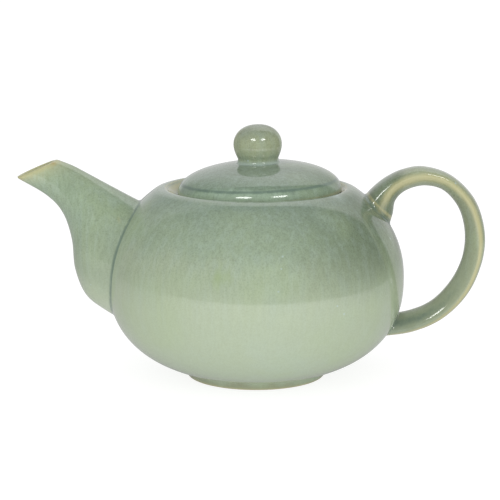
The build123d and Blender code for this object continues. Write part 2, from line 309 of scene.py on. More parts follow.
def clay_piece(name, body, node, points, faces, marks, seed=POT_SEED):
    """A smooth piece in place of a CAD node, from points in millimetres and each point's marks."""
    placed = [hand_thrown(point, seed) for point in points]
    if body == "lid":
        placed = [leaned(point) for point in placed]
    mesh = bpy.data.meshes.new(name)
    mesh.from_pydata([point * MM for point in placed], [], faces)
    face_outward(mesh)
    for place, kind in enumerate(("thin", "pool", "milk", "bare")):
        layer = mesh.attributes.new(kind, "FLOAT", "POINT")
        layer.data.foreach_set("value", [float(mark[place]) for mark in marks])
    piece = add_object(name, mesh)
    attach(piece, body)
    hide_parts(node)
    return piece


def lathe(name, body, node, outline, marks, closed=False, seed=POT_SEED):
    """A turned piece. Outline points on the axis become a single point; a closed outline joins its ends.

    marks gives the (thin, pool, milk, bare) marks at a radius and height.
    """
    points = []
    rings = []
    marked = []
    for radius, height in outline:
        if radius < 1e-6:
            rings.append([len(points)] * TURNS)
            points.append(Vector((0, 0, height)))
            marked.append(marks(0.0, height))
            continue
        marked += [marks(radius, height)] * TURNS
        rings.append(list(range(len(points), len(points) + TURNS)))
        for step in range(TURNS):
            turn = 2 * math.pi * step / TURNS
            points.append(Vector((radius * math.cos(turn), radius * math.sin(turn), height)))
    if closed:
        rings.append(rings[0])
    return clay_piece(name, body, node, points, bridge(rings), marked, seed)


def bridge(rings):
    """Faces between each ring of point numbers and the next. A ring on the axis repeats one number."""
    faces = []
    for low, high in zip(rings, rings[1:]):
        count = len(low)
        for step in range(count):
            after = (step + 1) % count
            corners = [low[step], low[after], high[after], high[step]]
            faces.append(list(dict.fromkeys(corners)))
    return faces


def near(value, centre, spread):
    """1 at the centre, easing to 0 at the spread on either side."""
    share = min(abs(value - centre) / spread, 1)
    return 1 - share * share * (3 - 2 * share)


# ---- clay: the turned pieces ---------------------------------------------------------------------


def vessel_outline():
    """The vessel's closed outline: base, belly, rolled rim, cove, neck, inside wall and floor."""

    def lower_curve(start, steps):
        return turned_quarter(BELLY_RADIUS, -LOWER_DEPTH, BELLY_HEIGHT, LOWER_POWER, start, steps)

    def upper_curve(start, steps):
        return turned_quarter(BELLY_RADIUS, UPPER_RISE, BELLY_HEIGHT, UPPER_POWER, start, steps)

    def start_at(radius, power):
        return math.asin((radius / BELLY_RADIUS) ** (power / 2))

    low_start = start_at(BASE_RADIUS, LOWER_POWER)
    lower = lower_curve(low_start, 34)
    upper = upper_curve(start_at(SHOULDER_RADIUS, UPPER_POWER), 30)[::-1]

    slope = math.atan2(upper[-1][1] - upper[-2][1], upper[-2][0] - upper[-1][0])
    outer_round = (RIM_HEIGHT - upper[-1][1]) / (1 - math.cos(slope))
    crest = upper[-1][0] - outer_round * math.sin(slope)
    rim = arc((crest, RIM_HEIGHT - outer_round), outer_round, math.pi / 2 - slope, math.pi / 2, 10)
    inner_height = RIM_HEIGHT - RIM_INNER_ROUND
    to_cove = math.atan2(COVE_CENTRE - inner_height, -crest)
    rim += arc((crest, inner_height), RIM_INNER_ROUND, math.pi / 2, to_cove, 10)[1:]
    cove_foot = -math.acos((NECK_RADIUS + 1.5) / COVE_RADIUS)
    rim += arc((0, COVE_CENTRE), COVE_RADIUS, to_cove - math.pi, cove_foot, 8)[1:]

    inside_upper = upper_curve(start_at(ROOF_RADIUS, UPPER_POWER), 24)
    inside_lower = lower_curve(low_start + 0.2, 24)[::-1]
    wall = offset_path(inside_upper + inside_lower[1:], -WALL)
    corner = (wall[0][0] - (ROOF_HEIGHT - wall[0][1]), ROOF_HEIGHT)
    neck_top = COVE_CENTRE - math.sqrt(COVE_RADIUS**2 - NECK_RADIUS**2)
    neck = rounded(
        [
            (*rim[-1], 0),
            (NECK_RADIUS, neck_top, 0.8),
            (NECK_RADIUS, ROOF_HEIGHT, 1.8),
            (*corner, 4.0),
            (*wall[0], 0),
        ]
    )
    floor = BASE_HEIGHT + WALL
    bottom = rounded([(*wall[-1], 0), (wall[-1][0] - 6.5, floor, 9.0), (0, floor, 0)], steps=8)
    base = [(0, BASE_HEIGHT), lower[0]]
    return filled(base + lower[1:] + upper[1:] + rim[1:] + neck[1:] + wall[1:] + bottom[1:], 2.6)


def vessel_marks(radius, height):
    """Glaze breaks along the rim's inner edge, gathers outside it, and is thin and milky in the cove, where
    the paleness is partly painted light.
    """
    on_rim = height > RIM_HEIGHT - 2 and radius > 45
    outside_rim = height > RIM_HEIGHT - 10 and radius > 49
    cove_side = COVE_FOOT < height < RIM_HEIGHT - 0.2 and radius < 48.2
    crest = 0.6 * near(radius, RIM_BREAK_RADIUS, 1.5) if on_rim else 0
    gathered = 0.35 * near(radius, RIM_GATHER_RADIUS, 5.0) if outside_rim else 0
    # the cove's pale band: partly thin, milky glaze and partly painted light
    in_cove = near(radius, COVE_THIN_RADIUS, 4.4) if cove_side else 0
    return max(crest, 0.85 * in_cove), gathered, 0.65 * in_cove, 0


def make_vessel():
    """The turned pot, pierced behind the spout."""
    vessel = lathe("vessel_body", "pot", "vessel", vessel_outline(), vessel_marks)
    cutters = []
    for row in range(-STRAINER_RINGS, STRAINER_RINGS + 1):
        in_row = 2 * STRAINER_RINGS + 1 - abs(row)
        for place in range(in_row):
            sideways = (place - (in_row - 1) / 2) * STRAINER_PITCH
            height = STRAINER_HEIGHT + row * STRAINER_PITCH * math.sqrt(3) / 2
            outer = math.sqrt(max(belly_radius(height) ** 2 - sideways**2, 0))
            middle = Vector((-outer + WALL / 2, sideways, height))
            cutters.append((middle, Vector((1, 0, 0)), STRAINER_HOLE_RADIUS, WALL))
    pierce(vessel, cutters)
    return vessel


def pierce(piece, cutters, move=Vector):
    """Cuts round holes, flared at both surfaces. Each cutter is (middle, direction, radius, wall).

    move is what was done to the piece's own points, so that the holes follow it.
    """
    points = []
    faces = []
    for middle, direction, radius, wall in cutters:
        side = direction.orthogonal().normalized()
        other = direction.cross(side)
        # Each pair is (distance along the hole from its middle, extra radius there).
        profile = [
            (-wall, 2.2),
            (-wall / 2 - 0.05, 0.75),
            (-wall / 2 + 0.25, 0.3),
            (-wall / 2 + 0.8, 0),
        ]
        profile += [(-along, flare) for along, flare in profile[::-1]]
        rings = []
        for along, flare in profile:
            rings.append(list(range(len(points), len(points) + HOLE_STEPS)))
            for step in range(HOLE_STEPS):
                turn = 2 * math.pi * step / HOLE_STEPS
                out = side * math.cos(turn) + other * math.sin(turn)
                points.append(move(middle + direction * along + out * (radius + flare)) * MM)
        faces += bridge(rings) + [rings[0][::-1], rings[-1]]
    mesh = bpy.data.meshes.new("cutter")
    mesh.from_pydata(points, [], faces)
    face_outward(mesh)
    cutter = add_object("cutter", mesh)
    cut = piece.modifiers.new("pierced", "BOOLEAN")
    cut.operation = "DIFFERENCE"
    cut.solver = "EXACT"
    cut.object = cutter
    bpy.context.view_layer.update()
    seen = piece.evaluated_get(bpy.context.evaluated_depsgraph_get())
    whole = bpy.data.meshes.new_from_object(seen)
    piece.modifiers.remove(cut)
    piece.data = whole
    bpy.data.objects.remove(cutter)


def make_foot():
    """The turned foot, rounded and wiped bare along its standing edge."""
    outline = rounded(
        [
            (BASE_RADIUS + 0.6, BASE_HEIGHT + 0.9, 0),
            (BASE_RADIUS - 0.5, BASE_HEIGHT - 0.6, 0.9),
            (FOOT_BOTTOM_RADIUS, 0, 0.9),
            (FOOT_INNER_RADIUS, 0, 0.9),
            (FOOT_INNER_RADIUS - 0.7, BASE_HEIGHT - 0.2, 0.8),
            (FOOT_INNER_RADIUS - 2.2, BASE_HEIGHT + 0.5, 0),
        ]
    )

    def marks(radius, height):
        worn = 0.55 * near(height, 0.4, 1.6)
        gathered = 0.25 * near(height, BASE_HEIGHT, 1.0)
        return worn, gathered, 0, near(height, 0, 0.7)

    foot = lathe("foot", "pot", "foot_ring", filled(outline, 1.5), marks, closed=True)
    return foot


def lid_marks(radius, height):
    """Thin glaze and painted light on the edge, a dark line above it, clouds round the knob, wiped from
    below.
    """
    # partly painted light: a pale edge over the shaded gap between lid and rim
    edge = 0.5 * near(radius, LID_RADIUS, 0.8) * near(height, LID_EDGE, 2.2)
    # a dark teal line above the lid's edge
    gathered = near(radius, LID_DARK_LINE_RADIUS, 1.1) if height > LID_EDGE + 2 else 0
    under = height < LID_FOOT + 0.8 and radius > FLANGE_RADIUS - 1
    return edge, gathered, near(radius, KNOB_BASE_RADIUS, 2.2), under


def make_lid():
    """The domed lid with its steam vent."""
    dome = turned_quarter(LID_RADIUS, LID_APEX - LID_EDGE, LID_EDGE, LID_POWER, 0, 40)
    hollow = []
    for step in range(15):
        radius = HOLLOW_RADIUS - HOLLOW_RADIUS * step / 14
        hollow.append((radius, dome_height(radius) - LID_THICKNESS))
    under = rounded(
        [
            (*dome[-1], 0),
            (LID_RADIUS, LID_FOOT, 1.2),
            (FLANGE_RADIUS, LID_FOOT, 0.5),
            (FLANGE_RADIUS, LID_LAND, 0.5),
            (LAND_RADIUS, LID_LAND, 1.5),
            (*hollow[0], 0),
        ]
    )
    outline = filled(dome + under[1:] + hollow[1:], 2.0)
    lid = lathe("lid_dome", "lid", "lid", outline, lid_marks, seed=LID_SEED)
    lean = math.atan((dome_height(STEAM_VENT_REACH + 0.1) - dome_height(STEAM_VENT_REACH - 0.1)) / 0.2)
    out = Vector((0, -math.sin(lean), math.cos(lean)))
    surface = Vector((0, STEAM_VENT_REACH, dome_height(STEAM_VENT_REACH)))
    middle = Vector((0, 0, LID_APEX - LID_THICKNESS / 2))
    pierce(
        lid,
        [
            (surface - out * LID_THICKNESS / 2, out, STEAM_VENT_RADIUS, LID_THICKNESS),
            (middle, Vector((0, 0, 1)), KILN_VENT_RADIUS, LID_THICKNESS),
        ],
        leaned,
    )
    return lid


def make_flange():
    """The locating ring under the lid, with a softened foot."""
    top = LID_LAND + 0.2
    inner = FLANGE_RADIUS - FLANGE_WIDTH
    outline = rounded(
        [
            (FLANGE_RADIUS, top, 0),
            (FLANGE_RADIUS, FLANGE_FOOT, 1.3),
            (inner, FLANGE_FOOT, 1.3),
            (inner, top - 0.6, 1.0),
            (inner - 1.6, top, 0),
        ]
    )

    def marks(radius, height):
        return 0.5, 0, 0, near(height, FLANGE_FOOT, 1.6)

    outline = filled(outline, 1.5)
    flange = lathe("flange", "lid", "lid_flange", outline, marks, closed=True, seed=LID_SEED)
    return flange


def make_knob():
    """The hollow ball knob on its waisted neck, run into the dome with a small fillet."""
    crown = turned_quarter(KNOB_RADIUS, KNOB_TOP - KNOB_WIDEST, KNOB_WIDEST, KNOB_POWER, 0, 26)
    below = []
    for step in range(1, 13):
        share = step / 12
        height = KNOB_WIDEST - (KNOB_WIDEST - KNOB_WAIST) * share
        below.append((KNOB_RADIUS - (KNOB_RADIUS - KNOB_WAIST_RADIUS) * share**1.7, height))
    for step in range(1, 11):
        share = step / 10
        across = KNOB_WAIST_RADIUS + (KNOB_RUNOUT - KNOB_WAIST_RADIUS) * share**2.6
        height = KNOB_WAIST + (dome_height(KNOB_RUNOUT) - KNOB_WAIST) * share**0.8
        below.append((across, height))
    sunk = (KNOB_BASE_RADIUS + 0.5, below[-1][1] - 0.4)
    hollow = [(KNOB_HOLLOW_RADIUS, LID_APEX - 1.0), (KNOB_HOLLOW_RADIUS, KNOB_HOLLOW_HEIGHT)]
    roof = turned_quarter(KNOB_HOLLOW_RADIUS, KNOB_HOLLOW_RADIUS, KNOB_HOLLOW_HEIGHT, 2.0, 0, 8)[::-1]
    outline = crown + below + [sunk] + hollow + roof[1:]

    def marks(radius, height):
        pale = near(height, LID_APEX - 0.2, 2.2) if radius > KNOB_HOLLOW_RADIUS + 1 else 0
        return 0, 0.35 * near(height, KNOB_WAIST + 1.2, 2.5), pale, 0

    knob = lathe("knob_ball", "lid", "knob", outline, marks, seed=LID_SEED)
    return knob


# ---- clay: the spout and the handle --------------------------------------------------------------


def station_at(stations, place):
    """The smooth curve through the stations at a place from 0 at the first to 1 at the last."""
    scaled = place * (len(stations) - 1)
    index = min(max(int(scaled), 0), len(stations) - 2)
    share = scaled - index
    first, second = stations[index], stations[index + 1]
    before = [2 * a - b for a, b in zip(first, second)]
    if index > 0:
        before = stations[index - 1]
    after = [2 * b - a for a, b in zip(first, second)]
    if index + 2 < len(stations):
        after = stations[index + 2]
    values = []
    for a, b, c, d in zip(before, first, second, after):
        cubic = (2 * b, c - a, 2 * a - 5 * b + 4 * c - d, 3 * b - a - 3 * c + d)
        values.append(0.5 * (cubic[0] + share * (cubic[1] + share * (cubic[2] + share * cubic[3]))))
    return values


def spout_share(angle):
    """(sideways, upward) share of the spout's section at an angle."""
    return math.cos(angle), math.sin(angle)


def strap_share(angle):
    """(sideways, outward) share of the handle's section at an angle."""
    side, out = math.cos(angle), math.sin(angle)
    return math.copysign(abs(side) ** STRAP_SQUARENESS, side) * (1 + HANDLE_FLAT * out), out


def rail_point(stations, share, place, angle, wall=0.0):
    """A point on the form that runs through the stations, moved in by a wall."""
    first_x, first_z, second_x, second_z, half_width = station_at(stations, place)
    middle = Vector(((first_x + second_x) / 2, 0, (first_z + second_z) / 2))
    reach = Vector((first_x, 0, first_z)) - middle
    reach *= 1 - wall / reach.length
    side, out = share(angle)
    return middle + reach * out + Vector((0, (half_width - wall) * side, 0))


def outside_by(point):
    """How far a point lies outside the vessel's surface, measured level."""
    return math.hypot(point.x, point.y) - belly_radius(point.z)


def onto_vessel(point, sunk=0.0):
    """The point moved level onto the vessel's surface, or sunk below it."""
    reach = math.hypot(point.x, point.y)
    scale = (belly_radius(point.z) - sunk) / reach
    return Vector((point.x * scale, point.y * scale, point.z))


def vessel_normal(point):
    """Outward direction of the vessel's surface near a point."""
    step = 0.05
    fall = (belly_radius(point.z + step) - belly_radius(point.z - step)) / (2 * step)
    reach = math.hypot(point.x, point.y)
    return Vector((point.x / reach, point.y / reach, -fall)).normalized()


def entry_place(form, angle, inside, outside):
    """The place along a form's line at an angle where it leaves the vessel."""
    for _ in range(40):
        middle = (inside + outside) / 2
        if outside_by(form(middle, angle)) < 0:
            inside = middle
        else:
            outside = middle
    return (inside + outside) / 2


def place_after(form, angle, start, end, distance):
    """The place along a form's line that lies a distance on from its start, towards its end."""
    here = form(start, angle)
    travelled = 0.0
    for step in range(1, 401):
        place = start + (end - start) * step / 400
        there = form(place, angle)
        travelled += (there - here).length
        here = there
        if travelled >= distance:
            return place
    return end


def seam(form, inside, outside, reach):
    """Angles round a form, the places where its fillet starts, and each fillet's three guide points."""
    angles = [2 * math.pi * step / AROUND for step in range(AROUND)]
    places = [entry_place(form, angle, inside, outside) for angle in angles]
    corners = [form(place, angle) for place, angle in zip(places, angles)]
    centre = sum(corners, Vector()) / AROUND
    starts = []
    fillets = []
    for step, angle in enumerate(angles):
        along = (corners[(step + 1) % AROUND] - corners[step - 1]).normalized()
        away = vessel_normal(corners[step]).cross(along)
        if away.dot(corners[step] - centre) < 0:
            away.negate()
        start = place_after(form, angle, places[step], outside, reach)
        landing = onto_vessel(corners[step] + away * reach)
        starts.append(start)
        fillets.append((form(start, angle), corners[step], landing))
    return angles, starts, fillets


def fillet_ring(fillets, share):
    """One ring of points across a fillet: share 0 on the form, 1 on the vessel."""
    ring = []
    for first, corner, last in fillets:
        ring.append(first * (1 - share) ** 2 + corner * 2 * share * (1 - share) + last * share**2)
    return ring


def make_spout():
    """The hollow spout: a filleted root, a smooth bent skin, a soft oblique lip and the bore."""

    def skin(place, angle):
        return rail_point(SPOUT_STATIONS, spout_share, place, angle)

    def wall_at(place):
        return SPOUT_WALL_ROOT + (SPOUT_WALL_LIP - SPOUT_WALL_ROOT) * place

    def bore(place, angle):
        return rail_point(SPOUT_STATIONS, spout_share, place, angle, wall_at(place))

    angles, starts, fillets = seam(skin, 0.0, 0.6, SPOUT_FILLET)
    rows = [[onto_vessel(last, ROOT_DEPTH) for _, _, last in fillets]]
    for step in range(FILLET_STEPS):
        rows.append(fillet_ring(fillets, 1 - step / FILLET_STEPS))
    for step in range(SPOUT_ROWS + 1):
        share = step / SPOUT_ROWS
        places = [start + (LIP_START - start) * share for start in starts]
        rows.append([skin(place, angle) for place, angle in zip(places, angles)])
    for step in range(1, LIP_STEPS + 1):
        turn = math.pi * step / LIP_STEPS
        wall = wall_at(1) * (1 - math.cos(turn)) / 2
        place = LIP_START + LIP_RISE * math.sin(turn)
        rows.append([rail_point(SPOUT_STATIONS, spout_share, place, angle, wall) for angle in angles])
    inner = [entry_place(bore, angle, 0.0, 0.6) for angle in angles]
    for step in range(1, SPOUT_ROWS + 1):
        share = step / SPOUT_ROWS
        places = [LIP_START + (place - LIP_START) * share for place in inner]
        rows.append([bore(place, angle) for place, angle in zip(places, angles)])
    rows.append([onto_vessel(bore(place, angle), ROOT_DEPTH) for place, angle in zip(inner, angles)])
    rows.append(rows[0])

    lip_top = skin(1.0, math.pi / 2)
    lip_run = skin(1.0, -math.pi / 2) - lip_top
    lip_facing = lip_run.cross(Vector((0, 1, 0))).normalized()

    def marks(point, _row, _step):
        from_lip = (point - lip_top).dot(lip_facing)
        worn = max(0.72 * near(from_lip, 0, 5.5), 0.42 * near(from_lip, 0, 13))
        return worn, near(outside_by(point), 0, 1.5), 0, 0

    spout = tube("spout_form", "pot", "spout", rows, marks)
    return spout


def tube(name, body, node, rows, marks):
    """A piece made of rings of points. A last ring that is the first one again closes it on itself.

    marks gives a point's (thin, pool, milk, bare) marks from the point, its ring and its step round it.
    """
    points = []
    rings = []
    for row in rows:
        if rings and row is rows[0]:
            rings.append(rings[0])
            continue
        rings.append(list(range(len(points), len(points) + len(row))))
        points += row
    faces = bridge(rings)
    if rings[-1] is not rings[0]:
        faces += [rings[0][::-1], rings[-1]]
    marked = [marks(point, index // AROUND, index % AROUND) for index, point in enumerate(points)]
    return clay_piece(name, body, node, points, faces, marked)


def make_handle():
    """The loop handle, filleted onto the vessel at both ends."""

    def strap(place, angle):
        return rail_point(HANDLE_STATIONS, strap_share, place, angle)

    angles, upper_starts, upper_fillets = seam(strap, 0.0, 0.3, HANDLE_FILLET)
    _, lower_starts, lower_fillets = seam(strap, 1.0, 0.75, HANDLE_FILLET)
    rows = [[onto_vessel(last, ROOT_DEPTH) for _, _, last in upper_fillets]]
    for step in range(FILLET_STEPS):
        rows.append(fillet_ring(upper_fillets, 1 - step / FILLET_STEPS))
    for step in range(HANDLE_ROWS + 1):
        share = step / HANDLE_ROWS
        places = [start + (end - start) * share for start, end in zip(upper_starts, lower_starts)]
        rows.append([strap(place, angle) for place, angle in zip(places, angles)])
    for step in range(1, FILLET_STEPS + 1):
        rows.append(fillet_ring(lower_fillets, step / FILLET_STEPS))
    rows.append([onto_vessel(last, ROOT_DEPTH) for _, _, last in lower_fillets])

    def marks(point, row, step):
        """Glaze breaks on the ridge, gathers in seams and under the loop; a painted highlight rings the upper
        joint.
        """
        share = row / len(rows)
        outward = math.sin(angles[step])
        ridge_at = max(RIDGE_PLACE, RIDGE_DRIFT * (share - 0.25))
        ridge = near(outward, ridge_at, RIDGE_SPREAD + RIDGE_SWELL * near(share, 0.3, 0.36))
        ridge *= 1 - 0.6 * near(share, 0, 0.14)
        # painted highlight: a pale straw collar round the upper joint
        collar_highlight = 0.85 * near(outside_by(point), 3.2, 2.2) * near(share, 0, 0.2)
        in_seam = near(outside_by(point), 0, 1.2)
        under = near(outward, -0.35, 0.6) * near(share, 1.0, 0.45)
        return max(RIDGE_BREAK * ridge, collar_highlight), max(in_seam, 0.8 * under), 0, 0

    handle = tube("handle_loop", "pot", "handle", rows, marks)
    return handle


# ---- glaze ---------------------------------------------------------------------------------------


class Nodes:
    """Adds shader nodes to a tree and joins them, each value being a socket or a plain number."""

    def __init__(self, owner):
        """Starts from the emptied node tree of a material or a world."""
        owner.use_nodes = True
        owner.node_tree.nodes.clear()
        self.tree = owner.node_tree

    def add(self, kind, values=None, **settings):
        """A new node, with values by socket name or number."""
        node = self.tree.nodes.new(kind)
        for key, value in settings.items():
            setattr(node, key, value)
        for key, value in (values or {}).items():
            socket = node.inputs[key]
            if isinstance(value, bpy.types.NodeSocket):
                self.tree.links.new(value, socket)
            else:
                socket.default_value = value
        return node

    def maths(self, operation, first, second=0.0):
        """A maths node's result."""
        return self.add("ShaderNodeMath", {0: first, 1: second}, operation=operation).outputs[0]

    def plus(self, first, second):
        return self.maths("ADD", first, second)

    def times(self, first, second):
        return self.maths("MULTIPLY", first, second)

    def length(self, first, second):
        """The length of a flat vector from its two parts."""
        squares = self.plus(self.maths("POWER", first, 2.0), self.maths("POWER", second, 2.0))
        return self.maths("SQRT", squares)

    def ease(self, value, low, high, to_low=0.0, to_high=1.0):
        """The value eased from one range to another."""
        values = {"Value": value, "From Min": low, "From Max": high, "To Min": to_low, "To Max": to_high}
        return self.add("ShaderNodeMapRange", values, interpolation_type="SMOOTHSTEP").outputs[0]

    def mix(self, share, first, second):
        """Two colours mixed by a share."""
        values = {"Factor": share, 6: first, 7: second}
        return self.add("ShaderNodeMix", values, data_type="RGBA").outputs[2]

    def mix_values(self, share, first, second):
        """Two plain values mixed by a share."""
        values = {"Factor": share, 2: first, 3: second}
        return self.add("ShaderNodeMix", values, data_type="FLOAT").outputs[0]

    def ramp(self, height, stops):
        """A colour by height, eased between stops of (millimetres, colour)."""
        low, high = stops[0][0], stops[-1][0]
        values = {"Value": height, "From Min": low * MM, "From Max": high * MM}
        share = self.add("ShaderNodeMapRange", values)
        node = self.add("ShaderNodeValToRGB", {"Fac": share.outputs[0]})
        node.color_ramp.interpolation = "EASE"
        elements = node.color_ramp.elements
        elements[0].color = stops[0][1]
        elements[1].color = stops[-1][1]
        for at, tint in stops[1:-1]:
            elements.new((at - low) / (high - low)).color = tint
        return node.outputs["Color"]

    def noise(self, where, scale, detail=4.0, rough=0.5, stretch=(1, 1, 1)):
        """Smooth noise at a place, with features 1/scale metres wide."""
        spread = self.add("ShaderNodeMapping", {"Vector": where, "Scale": stretch}).outputs[0]
        values = {"Vector": spread, "Scale": scale, "Detail": detail, "Roughness": rough}
        return self.add("ShaderNodeTexNoise", values).outputs[0]

    def mark(self, name):
        """One of the vertex marks."""
        return self.add("ShaderNodeAttribute", attribute_name=name).outputs["Fac"]


def colour(red, green, blue):
    """An opaque colour."""
    return (red, green, blue, 1)


STRAW = colour(0.52, 0.49, 0.26)
OCHRE = colour(0.42, 0.31, 0.13)
BUFF_CLAY = colour(0.50, 0.43, 0.33)
MILK = colour(0.42, 0.52, 0.49)
TEAL = colour(0.125, 0.185, 0.15)
# a dark green, painted as shade on the upper belly
SHADE_BOTTLE = colour(0.12, 0.16, 0.095)
LEAF = colour(0.36, 0.45, 0.26)
OLIVE = colour(0.30, 0.39, 0.19)

# Each stop is (height in millimetres, colour).
# The pot darkens towards the top: partly the glaze's own tint, partly painted shade for the dim room above
# and painted light for the white floor below.
POT_STOPS = [
    (5, colour(0.375, 0.445, 0.32)),
    (33, colour(0.375, 0.44, 0.315)),
    (50, colour(0.38, 0.445, 0.315)),
    (69, colour(0.345, 0.41, 0.29)),
    (84, colour(0.295, 0.37, 0.26)),
    (100, colour(0.25, 0.32, 0.235)),
]
SPOUT_STOPS = [
    (28, colour(0.54, 0.60, 0.47)),
    (60, colour(0.31, 0.375, 0.265)),
    (100, colour(0.275, 0.35, 0.24)),
    (118, colour(0.36, 0.43, 0.28)),
]
HANDLE_STOPS = [
    (18, colour(0.285, 0.335, 0.23)),
    (60, colour(0.335, 0.375, 0.25)),
    (114, colour(0.30, 0.325, 0.21)),
]
FOOT_STOPS = [(0, colour(0.33, 0.36, 0.24)), (4, colour(0.40, 0.47, 0.33))]
LID_STOPS = [
    (96, colour(0.25, 0.31, 0.21)),
    (103, colour(0.33, 0.435, 0.32)),
    (107, colour(0.21, 0.28, 0.205)),
    (116, colour(0.22, 0.28, 0.21)),
]
KNOB_STOPS = [
    (112, colour(0.31, 0.39, 0.25)),
    (126, colour(0.34, 0.38, 0.235)),
    (137, colour(0.25, 0.28, 0.19)),
]

# Each patch is (middle in millimetres, reach, colour, share).
POT_PATCHES = [
    ((41, -29, 101), 13, MILK, 0.6),
    ((-18, -76, 69), 14, OLIVE, 0.6),
]
SPOUT_PATCHES = [
    ((-72, -19, 88), 5, OCHRE, 0.35),
    ((-108, -5, 116), 4.5, OCHRE, 0.6),
    ((-125, -3, 108), 5, OCHRE, 0.4),
]


def patch(n, where, middle, reach, ragged):
    """A soft ragged share, 1 near a middle point in millimetres and 0 beyond its reach."""
    centre = tuple(part * MM for part in middle)
    away = n.add("ShaderNodeVectorMath", {0: where, 1: centre}, operation="DISTANCE").outputs["Value"]
    ragged_away = n.plus(away, n.times(ragged, reach * 0.8 * MM))
    return n.ease(ragged_away, reach * 0.3 * MM, reach * MM, 1, 0)


def glaze_tint(n, where, stops):
    """The glaze's colour: tints by height, painted shade on the upper belly, then streaks, clouds and specks,
    then what the marks change.
    """
    parts = n.add("ShaderNodeSeparateXYZ", {0: where}).outputs
    streaks = n.noise(where, 260, 3.0, 0.6, (1, 1, 0.10))
    hairs = n.noise(where, 620, 2.0, 0.6, (1, 1, 0.16))
    clouds = n.noise(where, 42, 4.0, 0.6, (1, 1, 0.6))
    specks = n.noise(where, 1250, 3.0, 0.7)
    level = n.plus(parts["Z"], n.times(n.maths("SUBTRACT", clouds, 0.5), 0.020))
    shade = n.ramp(level, stops)

    # Painted shade: the upper belly is darker towards the handle, on the side turned from the light.
    upper = n.ease(parts["Z"], 0.046, 0.080)
    right = n.times(n.ease(parts["X"], 0.0, 0.070), n.ease(parts["X"], 0.074, 0.082, 1.0, 0.0))
    shade = n.mix(n.times(n.times(upper, right), 0.78), shade, SHADE_BOTTLE)

    # Green clouds, then milky streaks and clouds.
    shade = n.mix(n.ease(n.noise(where, 24, 2.0), 0.48, 0.70, 0.0, 0.32), shade, LEAF)
    pale = n.mix(0.5, shade, MILK)
    run_down = n.ease(parts["Z"], 0.030, 0.085, 0.10, 0.30)
    shade = n.mix(n.times(n.ease(streaks, 0.40, 0.68), run_down), shade, pale)
    shade = n.mix(n.ease(clouds, 0.45, 0.75, 0.0, 0.30), shade, pale)

    # Specks and a fine mottle, both stronger higher up.
    teal_specks = n.times(n.ease(specks, 0.46, 0.66), n.ease(parts["Z"], 0.040, 0.090, 0.03, 0.24))
    shade = n.mix(teal_specks, shade, TEAL)
    depth = n.ease(parts["Z"], 0.040, 0.090, 0.10, 0.34)
    fine = n.plus(n.ease(specks, 0.32, 0.68, -0.5, 0.5), n.ease(hairs, 0.35, 0.65, 0.15, -0.15))
    mottle = n.plus(1.0, n.times(fine, depth))
    shade = n.add("ShaderNodeVectorMath", {0: shade, "Scale": mottle}, operation="SCALE").outputs[0]

    # The marks, with ragged edges.
    ragged = n.times(n.maths("SUBTRACT", n.plus(hairs, streaks), 1.0), 0.9)
    pooled = n.plus(n.mark("pool"), n.times(ragged, n.mark("pool")))
    shade = n.mix(n.ease(pooled, 0.05, 1.0, 0.0, 0.75), shade, TEAL)
    shade = n.mix(n.times(n.mark("milk"), 0.55), shade, MILK)
    thin = n.plus(n.mark("thin"), n.times(ragged, 0.3))
    shade = n.mix(n.ease(thin, 0.08, 1.0, 0.0, 0.9), shade, STRAW)
    return shade, streaks, specks


def glaze(name, stops, patches=()):
    """A glossy, faintly uneven glaze with tiny pale pinholes, and bare clay where it was wiped away."""
    material = bpy.data.materials.new(name)
    n = Nodes(material)
    where = n.add("ShaderNodeTexCoord").outputs["Object"]
    shade, streaks, specks = glaze_tint(n, where, stops)
    for middle, reach, tint, share in patches:
        shade = n.mix(n.times(patch(n, where, middle, reach, streaks), share), shade, tint)

    pinholes = n.add("ShaderNodeTexVoronoi", {"Vector": where, "Scale": 120.0}).outputs["Distance"]
    rare = n.ease(n.noise(where, 45, 1.0, 0.5), 0.56, 0.60)
    pins = n.times(n.ease(pinholes, 0.05, 0.09, 0.7, 0.0), rare)
    shade = n.mix(pins, shade, MILK)

    bare = n.ease(n.mark("bare"), 0.35, 0.85)
    clay_grain = n.mix(n.ease(specks, 0.4, 0.7, 0.0, 0.5), BUFF_CLAY, colour(0.60, 0.52, 0.41))
    shade = n.mix(bare, shade, clay_grain)
    gloss = n.ease(n.noise(where, 120, 3.0), 0.3, 0.7, 0.06, 0.11)
    rough = n.mix_values(bare, gloss, 0.7)

    peel = n.noise(where, 300, 2.0, 0.4)
    waves = n.noise(where, 50, 2.0, 0.4, (1, 1, 0.6))
    bumps = n.plus(n.times(peel, 0.07), n.times(waves, 0.5))
    bumps = n.plus(bumps, n.times(n.times(specks, bare), 0.5))
    values = {"Height": bumps, "Distance": 0.35 * MM, "Strength": 0.5}
    relief = n.add("ShaderNodeBump", values).outputs[0]
    values = {"Base Color": shade, "Roughness": rough, "Normal": relief, "IOR": 1.6}
    surface = n.add("ShaderNodeBsdfPrincipled", values).outputs[0]
    n.add("ShaderNodeOutputMaterial", {"Surface": surface})
    return material


def finish_pieces():
    """Builds every piece and glazes it."""
    pot = glaze("pot_glaze", POT_STOPS, POT_PATCHES)
    spout = glaze("spout_glaze", SPOUT_STOPS, SPOUT_PATCHES)
    handle = glaze("handle_glaze", HANDLE_STOPS)
    foot = glaze("foot_glaze", FOOT_STOPS)
    lid = glaze("lid_glaze", LID_STOPS)
    knob = glaze("knob_glaze", KNOB_STOPS)
    for piece, material in (
        (make_vessel(), pot),
        (make_spout(), spout),
        (make_handle(), handle),
        (make_foot(), foot),
        (make_lid(), lid),
        (make_flange(), lid),
        (make_knob(), knob),
    ):
        piece.data.materials.clear()
        piece.data.materials.append(material)


# ---- studio --------------------------------------------------------------------------------------


